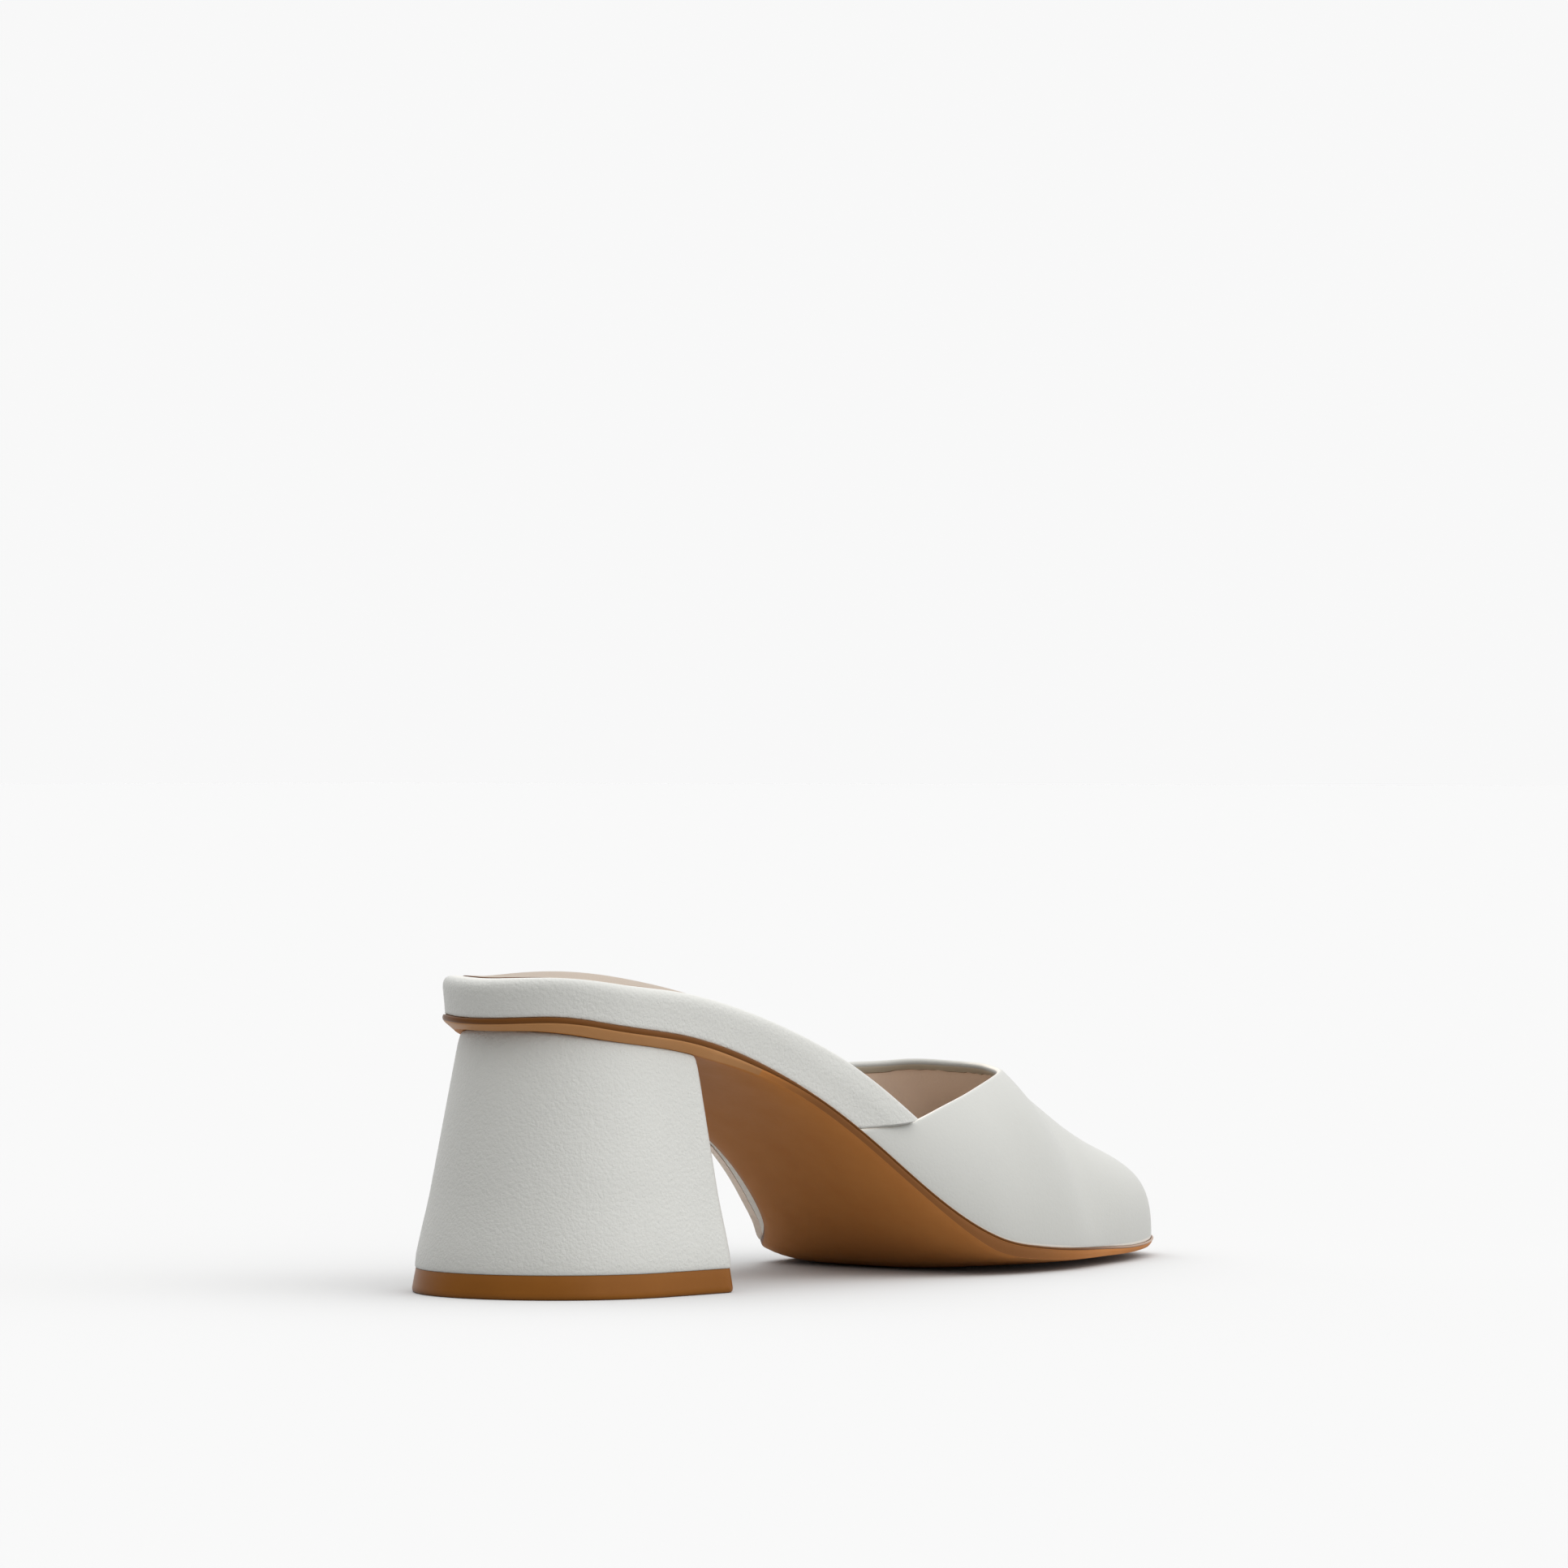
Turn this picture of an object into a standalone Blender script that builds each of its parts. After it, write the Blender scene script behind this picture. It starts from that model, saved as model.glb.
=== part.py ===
"""Block heel sandal, right foot: a slip-on with an open toe and an open back.

Six pieces, each its own solid: outsole, heel_block, top_lift, footbed, sock and upper.
The shoe's own axes, in millimetres while it is drawn: x runs from the back of the heel's
foot to the toe, y to the inner (big-toe) side, z up from the floor.
"""

import math

import bmesh
import bpy
import numpy as np

MM = 0.001

# ---- driving sizes, mm -------------------------------------------------------------
LENGTH = 228.0          # back of the heel's foot to the tip of the sole
SEAT_BACK = 6.0         # the sole starts this far in front of the heel's foot
SEAT_ROUND = 30.0       # length of the round end at the seat
TOE_ROUND = 36.0        # length of the round end at the toe
TOE_SQUARE = 2.3        # 2 is an ellipse, more is squarer
GAP = 0.3               # between pieces that touch
SOLE_EDGE = 1.3         # height of the sole's upright edge, less where the sole is thin
WALL = 1.8              # upper: leather and lining together
UPPER_INSET = 0.5       # the sole's edge stands this far outside the upper
LIFT_HEIGHT = 5.3
TRAY_DEPTH = 1.3        # the sock lies this deep in the footbed
ARCH_OVERHANG = 5.0     # the upper stands this far outside the sole's line, inner waist
ARCH_CUT = 0.7          # and there the sole itself is cut in by this
WING_SLANT = 16.7       # the wings' rear edge leans forward this far over the footbed's side
WING_FOOT = {-1: 99.8, 1: 97.0}     # where that edge meets the sole, outer and inner side

# The sole's line, a row for each station: height of its top face under the upper, sideways
# place of its middle, half of its width before the ends are rounded, and how far the outer
# edge rolls up from the floor.
SOLE_COLUMNS = ("along", "rise", "middle", "half", "roll")
SOLE_ROWS = (
    (6, 60.2, 0.0, 26.0, 0.0),
    (13, 60.65, 0.0, 26.2, 0.0),
    (24, 59.0, 0.0, 26.4, 0.0),
    (44, 56.15, -0.2, 26.6, 0.0),
    (60, 52.1, -1.0, 26.0, 0.2),
    (76, 46.2, -2.0, 24.9, 0.34),
    (92, 38.3, -3.2, 24.3, 0.48),
    (106, 28.6, -4.6, 24.8, 1.0),
    (118, 18.3, -5.4, 27.4, 1.7),
    (128, 9.6, -4.5, 31.5, 3.3),
    (137, 4.3, -1.45, 37.05, 4.2),
    (147, 3.05, 0.4, 39.4, 3.5),
    (158, 2.9, 2.0, 40.0, 2.6),
    (168, 2.8, 2.6, 38.7, 2.15),
    (180, 2.8, 3.2, 35.3, 1.7),
    (195, 2.9, 3.8, 30.8, 1.0),
    (207, 3.3, 4.0, 27.4, 0.65),
    (217, 4.0, 4.0, 25.4, 0.4),
    (228, 5.2, 4.0, 24.0, 0.3),
)

# What is built on that line: sole thickness, how far its lower edge is cut back, and the
# footbed's thickness, all square to the sole.
BUILD_COLUMNS = ("along", "sole", "bevel", "bed")
BUILD_ROWS = (
    (6, 3.0, 2.8, 8.25),
    (20, 3.3, 2.9, 8.8),
    (45, 3.4, 2.4, 9.35),
    (60, 3.2, 1.7, 9.7),
    (80, 3.0, 1.0, 10.6),
    (95, 3.0, 0.95, 11.1),
    (110, 3.0, 0.9, 10.9),
    (145, 3.0, 0.9, 8.8),
    (165, 2.9, 0.9, 7.4),
    (180, 2.6, 0.9, 6.5),
    (195, 2.1, 0.9, 5.8),
    (210, 1.7, 0.9, 5.2),
    (228, 1.5, 0.9, 4.6),
)

# How far the padded sock stands above the rim.
PAD_COLUMNS = ("along", "puff")
PAD_ROWS = (
    (6, 0.0), (17, 0.0), (26, 2.0), (35, 3.0), (46, 3.0), (60, 2.9), (75, 1.85), (95, 0.8),
    (130, 0.5), (228, 0.4),
)

# How far the sole's inner edge rolls up behind the ball.
ARCH_ROLL = (
    (6, 0), (112, 0), (126, 0.3), (133, 0.8), (140, 1.1), (146, 0.8), (153, 0.3), (162, 0.1),
    (228, 0),
)

# How much thinner the sole is skived along its inner and outer edges there.
ARCH_THIN = (
    (6, 0), (78, 0), (95, 1.2), (112, 1.7), (126, 1.9), (133, 1.9), (140, 1.9), (147, 1.2),
    (154, 0.4), (162, 0), (228, 0),
)
OUTER_THIN = (
    (6, 0), (56, 0), (66, 0.7), (84, 1.4), (110, 1.6), (122, 1.4), (131, 0.6), (137, 0),
    (145, 0), (228, 0),
)

# Upper's cross-sections: where its ridge runs and how full each side is (2 is an ellipse,
# more is squarer).
UPPER_COLUMNS = ("along", "ridge_side", "ridge_up", "outer_fullness", "inner_fullness")
UPPER_ROWS = (
    (97, 1.5, 60.0, 2.0, 2.40),
    (115, 3.0, 57.4, 2.0, 2.40),
    (130, 4.6, 56.2, 1.97, 2.42),
    (145, 6.2, 55.6, 1.94, 2.46),
    (160, 7.2, 53.6, 1.97, 2.50),
    (168, 7.1, 50.5, 1.77, 2.50),
    (175, 6.9, 46.6, 1.64, 2.50),
    (182, 6.9, 40.2, 1.89, 2.52),
    (189, 7.0, 34.9, 2.14, 2.55),
    (200, 6.8, 29.2, 2.44, 2.60),
    (210, 6.4, 25.6, 2.62, 2.70),
    (223, 5.2, 20.4, 2.76, 2.80),
)

# Where the upper is cut: around is -1 at the outer sole edge, 0 on the ridge and 1 at the
# inner sole edge. The back line makes the V of the throat, the front line the open toe.
BACK_LINE = (
    (-1.0, 99.8), (-0.934, 103.6), (-0.84, 109.9), (-0.764, 115.1), (-0.717, 118.3),
    (-0.643, 123.9), (-0.577, 130.0), (-0.523, 136.6), (-0.478, 144.0), (-0.44, 151.2),
    (-0.32, 165.0), (-0.2, 171.6),
    (-0.08, 174.7), (0.03, 174.9), (0.12, 173.7), (0.23, 170.7), (0.35, 163.9), (0.45, 152.2),
    (0.55, 139), (0.7, 121), (0.85, 108), (1.0, 97),
)
FRONT_LINE = ((-1.0, 222.5), (-0.6, 219.5), (0.0, 215.5), (0.6, 219.5), (1.0, 222.5))

# Heel block and top lift: a D in plan, round behind and straight across the breast.
HEEL_COLUMNS = ("back", "breast", "half", "round", "corner")
HEEL_FOOT = (0.0, 56.0, 32.1, 31.4, 4.0)
HEEL_TOP = (11.3, 50.2, 24.2, 25.5, 2.5)

# The middle of the finished shoe's box, which becomes x = y = 0.
BOX_MIDDLE = (114.08, 1.51)

MATERIALS = {
    "outsole": ((0.25, 0.12, 0.05), 0.5),
    "top_lift": ((0.23, 0.10, 0.04), 0.35),
    "heel_block": ((0.58, 0.58, 0.54), 0.5),
    "footbed": ((0.60, 0.60, 0.56), 0.5),
    "upper": ((0.63, 0.63, 0.60), 0.45),
    "sock": ((0.55, 0.45, 0.35), 0.6),
}


def column(rows, columns, name):
    """Stations and values of one named column."""
    index = columns.index(name)
    return [row[0] for row in rows], [row[index] for row in rows]


class Curve:
    """A natural cubic spline through a column's values."""

    def __init__(self, stations, values):
        self.x = np.array(stations, dtype=float)
        self.y = np.array(values, dtype=float)
        count = len(self.x)
        step = np.diff(self.x)
        matrix = np.eye(count)
        right = np.zeros(count)
        for i in range(1, count - 1):
            matrix[i, i - 1:i + 2] = step[i - 1], 2 * (step[i - 1] + step[i]), step[i]
            right[i] = 6 * ((self.y[i + 1] - self.y[i]) / step[i]
                            - (self.y[i] - self.y[i - 1]) / step[i - 1])
        self.bend = np.linalg.solve(matrix, right)

    def __call__(self, x):
        x = min(max(x, self.x[0]), self.x[-1])
        i = min(max(int(np.searchsorted(self.x, x)) - 1, 0), len(self.x) - 2)
        h = self.x[i + 1] - self.x[i]
        t = x - self.x[i]
        slope = (self.y[i + 1] - self.y[i]) / h - h * (2 * self.bend[i] + self.bend[i + 1]) / 6
        return (self.y[i] + t * slope + t * t * self.bend[i] / 2
                + t ** 3 * (self.bend[i + 1] - self.bend[i]) / (6 * h))


def curves(rows, columns):
    return {name: Curve(*column(rows, columns, name)) for name in columns[1:]}


SOLE = curves(SOLE_ROWS, SOLE_COLUMNS)
PAD = curves(PAD_ROWS, PAD_COLUMNS)
INNER_ROLL = Curve(*zip(*ARCH_ROLL))
INNER_SKIVE = Curve(*zip(*ARCH_THIN))
OUTER_SKIVE = Curve(*zip(*OUTER_THIN))
BUILD = curves(BUILD_ROWS, BUILD_COLUMNS)
UPPER = curves(UPPER_ROWS, UPPER_COLUMNS)
BACK = Curve(*zip(*BACK_LINE))
FRONT = Curve(*zip(*FRONT_LINE))


def ease(t):
    """0 to 1, flat at both ends."""
    t = min(max(t, 0.0), 1.0)
    return t * t * (3 - 2 * t)


def overhang(x):
    """How far upper and footbed stand outside the sole's waist on the inner side."""
    return ARCH_OVERHANG * ease((x - 55) / 45) * (1 - ease((x - 120) / 24))


def waist_cut(x):
    """How far the sole is cut in at the inner waist. It ends in a short step at the ball."""
    return ARCH_CUT * ease((x - 55) / 30) * (1 - ease((x - 133) / 4))


def half_width(x, inset):
    """Half width of the sole's outline, moved inwards by inset all the way round."""
    back = min(max((x - SEAT_BACK - inset) / (SEAT_ROUND - inset), 0.0), 1.0)
    front = min(max((LENGTH - inset - x) / (TOE_ROUND - inset), 0.0), 1.0)
    seat_end = math.sqrt(1 - (1 - back) ** 2)
    toe_end = (1 - (1 - front) ** TOE_SQUARE) ** (1 / TOE_SQUARE)
    return (SOLE["half"](x) - inset) * seat_end * toe_end


def side_at(x, side, inset, over=0.0):
    """Sideways place of the outline: side is -1 outer to 1 inner, in between it crosses."""
    wide = half_width(x, inset)
    return SOLE["middle"](x) + side * wide + max(side, 0.0) * over


def foot_height(x, y):
    """Height of the upper's foot on the sole, whose edges roll up from the floor."""
    across = (y - SOLE["middle"](x)) / SOLE["half"](x)
    outer = min(max(-across, 0.0), 1.0)
    inner = min(max(across, 0.0), 1.0)
    return SOLE["rise"](x) + SOLE["roll"](x) * outer ** 2 + INNER_ROLL(x) * inner ** 5


def sole_thick(x, y):
    """Thickness of the sole, skived thin along both sides of the arch."""
    across = (y - SOLE["middle"](x)) / SOLE["half"](x)
    skive = INNER_SKIVE if across > 0 else OUTER_SKIVE
    return BUILD["sole"](x) - max(skive(x), 0.0) * min(abs(across), 1.0) ** 5


def pitch(x):
    """The sole's slope at x, in radians, positive where it falls towards the toe."""
    return math.atan2(SOLE["rise"](x - 0.5) - SOLE["rise"](x + 0.5), 1.0)


def along(share, inset):
    return SEAT_BACK + inset + share * (LENGTH - SEAT_BACK - 2 * inset)


# ---- upper's form ------------------------------------------------------------------
def upper_section(x, around):
    """Outer face of the upper at station x."""
    side = -1 if around < 0 else 1
    foot_y = side_at(x, side, UPPER_INSET, overhang(x))
    foot_z = foot_height(x, foot_y)
    full = UPPER["outer_fullness" if around < 0 else "inner_fullness"](x)
    turn = (1 - abs(around)) * math.pi / 2
    ridge = UPPER["ridge_side"](x)
    y = ridge + (foot_y - ridge) * math.cos(turn) ** (2 / full)
    z = foot_z + (UPPER["ridge_up"](x) - foot_z) * math.sin(turn) ** (2 / full)
    return y, z


def upper_lean(x, side, height):
    """How far the upper's side has come in at a height above the sole."""
    foot_y = side_at(x, side, UPPER_INSET, overhang(x))
    foot_z = foot_height(x, foot_y)
    full = UPPER["outer_fullness" if side < 0 else "inner_fullness"](x)
    share = min(max(height / (UPPER["ridge_up"](x) - foot_z), 0.0), 0.95)
    reach = abs(foot_y - UPPER["ridge_side"](x))
    return reach * (1 - (1 - share ** full) ** (1 / full))


# ---- mesh helpers ------------------------------------------------------------------
def place_grid(columns, rows, point):
    """A grid whose every vertex is moved to point(share across, share along)."""
    mesh = bmesh.new()
    bmesh.ops.create_grid(mesh, x_segments=columns, y_segments=rows, size=1.0)
    for vertex in mesh.verts:
        vertex.co = point((vertex.co.x + 1) / 2, (vertex.co.y + 1) / 2)
    return mesh


def close_tube(mesh):
    """Join a grid's first and last columns, and cap its two ends."""
    bmesh.ops.remove_doubles(mesh, verts=mesh.verts, dist=1e-7)
    bmesh.ops.holes_fill(mesh, edges=[edge for edge in mesh.edges if edge.is_boundary], sides=0)
    bmesh.ops.triangulate(mesh, faces=[face for face in mesh.faces if len(face.verts) > 4])
    bmesh.ops.recalc_face_normals(mesh, faces=mesh.faces)


def to_shoe(x, y, z):
    """Shoe millimetres to scene metres."""
    return ((x - BOX_MIDDLE[0]) * MM, (y - BOX_MIDDLE[1]) * MM, z * MM)


def make_object(name, mesh):
    data = bpy.data.meshes.new(name)
    mesh.to_mesh(data)
    mesh.free()
    data.shade_smooth()
    data.set_sharp_from_angle(angle=math.radians(40))
    piece = bpy.data.objects.new(name, data)
    bpy.context.scene.collection.objects.link(piece)
    colour, roughness = MATERIALS[name]
    material = bpy.data.materials.new(name)
    material.use_nodes = True
    shader = material.node_tree.nodes["Principled BSDF"]
    shader.inputs["Base Color"].default_value = (*colour, 1.0)
    shader.inputs["Roughness"].default_value = roughness
    shader.inputs["Metallic"].default_value = 0.0
    data.materials.append(material)
    return piece


def ring_solid(name, ring_steps, stations, point):
    """A closed body: a ring of ring_steps points, drawn at each share along the shoe."""
    shares = list(stations)

    def vertex(around, lengthwise):
        step = int(round(around * ring_steps)) % ring_steps
        return to_shoe(*point(step, shares[int(round(lengthwise * (len(shares) - 1)))]))

    mesh = place_grid(ring_steps, len(shares) - 1, vertex)
    close_tube(mesh)
    return make_object(name, mesh)


def end_crowded(count):
    """Shares from 0 to 1, close together at the round ends."""
    return [0.5 - 0.5 * math.cos(math.pi * i / (count - 1)) for i in range(count)]


def spread(first, last, count):
    return [first + (last - first) * i / (count - 1) for i in range(count)]


# ---- pieces ------------------------------------------------------------------------
def make_outsole():
    """One piece of sole leather from seat to toe, its lower edge cut back."""
    top = [("top", side) for side in spread(-1, 1, 7)]
    bottom = [("bottom", side) for side in spread(1, -1, 9)]
    ring = top + [("edge", 1)] + bottom + [("edge", -1)]
    top_in = 0.5

    def point(step, share):
        level, side = ring[step]
        inset = {"top": top_in, "edge": 0.0, "bottom": BUILD["bevel"](along(share, 0))}[level]
        x = along(share, inset)
        y = side_at(x, side, inset, -waist_cut(x))
        z = foot_height(x, y)
        thick = sole_thick(x, y)
        drop = {"top": GAP, "edge": min(SOLE_EDGE, 0.7 * thick), "bottom": thick}[level]
        lean = pitch(x)
        return x - drop * math.sin(lean), y, max(z - drop * math.cos(lean), 0.0)

    return ring_solid("outsole", len(ring), end_crowded(50), point)


def slanted(base, share_up):
    """Station of a ring, slanted near the wings so that it lies along their rear edge."""
    near = ease((base - 55) / 40) * (1 - ease((base - 115) / 45))
    return base + WING_SLANT * (share_up - 0.5) * near


def covered(base, side, before, length):
    """0 to 1 over a length that ends a little before the upper's wing starts."""
    edge = WING_FOOT[side] + WING_SLANT / 2
    return ease((base - edge + before + length) / length)


def inside_upper(nominal, side, height):
    """Inset that clears the upper's inner face at a height above the sole."""
    spare = 0.5 if side < 0 else mix(0.7, 1.6, ease(height / 5))
    return UPPER_INSET + WALL + GAP + spare + 1.08 * upper_lean(nominal, side, height + GAP)


def bed_stations():
    """Stations for footbed and sock, with a close group at the wings' rear edge."""
    round_ends = [along(share, 0) for share in end_crowded(40)]
    step = [102.6, 104.0, 105.6, 106.0, 107.4, 109.0, 114.0, 119.0, 124.0, 129.0]
    plain = [x for x in round_ends if x < 99.5 or x > 131.5]
    return sorted(plain + [96.0] + step)


def share_of(x):
    return (x - SEAT_BACK) / (LENGTH - SEAT_BACK)


def mix(a, b, share):
    return a + (b - a) * share


def make_footbed():
    """The wrapped board under the foot, with a tray for the sock."""
    # share of the height, inset from its own side
    side_steps = ((0.0, 0.3), (0.1, 0.0), (0.68, -0.5), (0.88, -0.25), (0.975, 0.6), (1.0, 1.9))
    ring = [("under", side, 0.0, 0.3) for side in spread(-0.5, 0.5, 3)]
    ring += [("side", 1, up, inset) for up, inset in side_steps]
    ring += [("lip", 1, 1.0, 3.5), ("tray", 1, 1.0, 3.8)]
    ring += [("tray", side, 1.0, 3.8) for side in spread(0.5, -0.5, 3)]
    ring += [("tray", -1, 1.0, 3.8), ("lip", -1, 1.0, 3.5)]
    ring += [("side", -1, up, inset) for up, inset in reversed(side_steps)]

    def point(step, base):
        level, side, up, own_inset = ring[step]
        hand = 1 if side > 0 else -1
        nominal = slanted(base, up)
        height = up * BUILD["bed"](nominal) / math.cos(pitch(nominal))
        if level in ("lip", "tray"):
            wrap = covered(base, hand, 2.0, 9.0)
            clear = inside_upper(nominal, hand, height) + own_inset - 2.6
        else:
            wrap = covered(base, hand, 1.6 if hand < 0 else 1.8, 1.4)
            clear = inside_upper(nominal, hand, height) + 0.3 * own_inset
        inset = mix(UPPER_INSET + own_inset, clear, wrap)
        x = along(share_of(nominal), inset)
        y = side_at(x, side, inset, overhang(x))
        z = foot_height(x, y) + height - (TRAY_DEPTH if level == "tray" else 0.0)
        return x, y, z

    return ring_solid("footbed", len(ring), bed_stations(), point)


def make_sock():
    """The padded sock, from the seat to the toe, a little proud of the rim."""
    ring = [("under", side) for side in spread(-1, 1, 5)]
    across = (0.94, 0.8, 0.6, 0.3, 0.0, -0.3, -0.6, -0.8, -0.94)
    ring += [("edge", 1)] + [("top", side) for side in across] + [("edge", -1)]

    def point(step, base):
        level, side = ring[step]
        hand = 1 if side > 0 else -1
        nominal = slanted(base, 1.0)
        full = BUILD["bed"](nominal) / math.cos(pitch(nominal))
        wrap = covered(base, hand, 2.0, 9.0)
        clear = inside_upper(nominal, hand, full + 1.6) + 1.6
        inset = mix(UPPER_INSET + 4.25, clear, wrap)
        x = along(share_of(nominal), inset)
        y = side_at(x, side, inset, overhang(x))
        floor = foot_height(x, y) + full - TRAY_DEPTH + GAP + 0.1
        to_rim = TRAY_DEPTH - GAP - 0.1
        puff = max(PAD["puff"](x), 0.0) * (1 - abs(side) ** 1.9)
        rise = {"under": 0.0, "edge": to_rim - 0.2, "top": to_rim + puff}[level]
        return x, y, floor + rise

    return ring_solid("sock", len(ring), bed_stations(), point)


def heel_outline(plan):
    """Points of the D, from the middle of the breast round by the outer side."""
    back, breast, half, round_length, corner = plan
    points = [(breast, -t * (half - corner)) for t in spread(0, 1, 4)]
    for angle in spread(0, math.pi / 2, 5)[1:]:
        points.append((breast - corner + corner * math.cos(angle),
                       -(half - corner) - corner * math.sin(angle)))
    for angle in spread(0, math.pi / 2, 14):
        points.append((back + round_length * (1 - math.sin(angle)), -half * math.cos(angle)))
    other = [(x, -y) for x, y in reversed(points[1:-1])]
    return points + other


def grown(plan, by):
    back, breast, half, round_length, corner = plan
    return (back - by, breast + by, half + by, round_length + by, corner + by)


def between(plan_a, plan_b, share):
    return tuple(a + (b - a) * share for a, b in zip(plan_a, plan_b))


def heel_plan(z):
    """The D at a height, with the taper from floor to seat."""
    return between(HEEL_FOOT, HEEL_TOP, z / 57.0)


def make_heel_block():
    """The covered block. Its top follows the underside of the seat."""
    foot = LIFT_HEIGHT + GAP
    rows = [("wall", foot, -0.15), ("wall", foot + 0.3, 0.25), ("wall", foot + 3, 0.5)]
    rows += [("wall", foot + 9, 0.3)]
    rows += [("wall", z, 0.0) for z in spread(foot + 16, 46, 4)]
    rows += [("seat", 1.0, 0.0), ("cap", 0.7, 0.0), ("cap", 0.35, 0.0), ("cap", 0.02, 0.0)]
    around = len(heel_outline(HEEL_FOOT))

    def seat(x, y):
        lean = pitch(x)
        return foot_height(x, y) - sole_thick(x, y) / math.cos(lean) - GAP

    def vertex(around_share, row_share):
        kind, value, grow = rows[int(round(row_share * (len(rows) - 1)))]
        step = int(round(around_share * around)) % around
        if kind == "wall":
            x, y = heel_outline(grown(heel_plan(value), grow))[step]
            return to_shoe(x, y, value)
        x, y = heel_outline(HEEL_TOP)[step]
        middle = (HEEL_TOP[0] + HEEL_TOP[1]) / 2
        x = middle + (x - middle) * value
        y = y * value
        return to_shoe(x, y, seat(x, y))

    mesh = place_grid(around, len(rows) - 1, vertex)
    close_tube(mesh)
    return make_object("heel_block", mesh)


def make_top_lift():
    """The wearing piece under the heel."""
    rows = ((0.0, -0.5), (0.5, 0.0), (LIFT_HEIGHT, 0.0))
    around = len(heel_outline(HEEL_FOOT))

    def vertex(around_share, row_share):
        z, grow = rows[int(round(row_share * (len(rows) - 1)))]
        step = int(round(around_share * around)) % around
        x, y = heel_outline(grown(heel_plan(z), grow))[step]
        return to_shoe(x, y, z)

    mesh = place_grid(around, len(rows) - 1, vertex)
    close_tube(mesh)
    return make_object("top_lift", mesh)


def make_upper():
    """The vamp: one hollow piece, open at throat, toe and underneath."""
    rows = end_crowded(26)

    def vertex(around_share, back_to_front):
        around = -1 + 2 * around_share
        share = rows[int(round(back_to_front * (len(rows) - 1)))]
        x = BACK(around) + share * (FRONT(around) - BACK(around))
        y, z = upper_section(x, around)
        return to_shoe(x, y, z)

    mesh = place_grid(40, len(rows) - 1, vertex)
    ridge = max(mesh.verts, key=lambda v: v.co.z)
    bmesh.ops.recalc_face_normals(mesh, faces=mesh.faces)
    ridge.normal_update()
    if ridge.normal.z < 0:
        bmesh.ops.reverse_faces(mesh, faces=mesh.faces)
    piece = make_object("upper", mesh)
    wall = piece.modifiers.new("wall", "SOLIDIFY")
    wall.thickness = WALL * MM
    wall.offset = -1.0
    wall.use_even_offset = True
    wall.thickness_clamp = 0.0
    return piece


def main():
    for old in list(bpy.data.objects):
        bpy.data.objects.remove(old, do_unlink=True)
    make_outsole()
    make_heel_block()
    make_top_lift()
    make_footbed()
    make_sock()
    make_upper()


main()
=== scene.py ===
"""Looks of the block heel sandal: the right shoe of a pair, a slip-on with an open toe.

Every piece is drawn in the shoe's own millimetres: x runs from the back of the heel's foot
to the toe, y to the inner (big-toe) side, z up from the floor.
"""

import math
from bisect import bisect_right

import bmesh
import bpy
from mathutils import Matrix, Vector


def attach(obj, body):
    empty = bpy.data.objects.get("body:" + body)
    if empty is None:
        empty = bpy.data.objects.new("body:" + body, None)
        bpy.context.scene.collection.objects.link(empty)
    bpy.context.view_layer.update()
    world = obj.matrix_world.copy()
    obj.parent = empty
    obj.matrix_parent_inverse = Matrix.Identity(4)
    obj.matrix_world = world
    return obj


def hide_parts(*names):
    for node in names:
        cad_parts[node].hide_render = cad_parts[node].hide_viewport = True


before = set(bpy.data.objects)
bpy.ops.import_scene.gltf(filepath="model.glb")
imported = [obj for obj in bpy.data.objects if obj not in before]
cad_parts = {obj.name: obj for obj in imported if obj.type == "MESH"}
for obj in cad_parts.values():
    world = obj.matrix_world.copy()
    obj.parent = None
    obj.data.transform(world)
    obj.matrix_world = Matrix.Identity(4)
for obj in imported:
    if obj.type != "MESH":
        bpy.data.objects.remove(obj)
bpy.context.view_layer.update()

MM = 0.001

# ---- sizes, mm ---------------------------------------------------------------------
LENGTH = 228.0
SEAT_BACK = 6.0
SEAT_ROUND = 30.0
TOE_ROUND = 36.0
TOE_SQUARE = 2.3
GAP = 0.3
JOINT = 0.04            # glued joints, drawn closer than they are cut
WALL = 1.8              # upper: leather and lining
WING_WALL = 1.2         # skived thinner where the wings meet the sole
TURN_IN = 2.6           # the upper's leather is turned in this far at its edges
LINING_STEP = 0.25      # the lining lies this much below the turned-in leather
NEAR_EDGE = 4.0         # the strip beside a cut edge that is drawn at even distances
UPPER_INSET = 0.5
LIFT_HEIGHT = 5.3
TRAY_DEPTH = 1.3
ARCH_OVERHANG = 5.0
ARCH_CUT = 0.7
WING_SLANT = 16.7
WING_LINE = ((0.0, 0.0), (0.2, 3.9), (0.35, 6.6), (0.55, 10.15), (0.7, 12.55), (0.89, 15.4),
             (1.0, WING_SLANT))
WING_FOOT = {-1: 99.8, 1: 97.0}
RIM_ENDS = {-1: (0.05, 0.3), 1: (1.8, 0.5)}     # before the wing's edge, and over what length
TRAY_NARROWS = (2.0, 9.0)
LIP_MIDDLE = 2.6
SOCK_INSET = 4.0
SOCK_CLEAR = 1.45       # inside the wings, from the upper's inner face
SOCK_PROUD = 0.1
CUT_STRIP = 0.96        # the sock's cut edge shows outside this share of its half width
SEAT_EDGE = 0.35        # the heel's cover is pulled in this much under the seat
SEAT_EDGE_DEEP = 5.0
BOX_MIDDLE = (114.08, 1.51)

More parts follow.
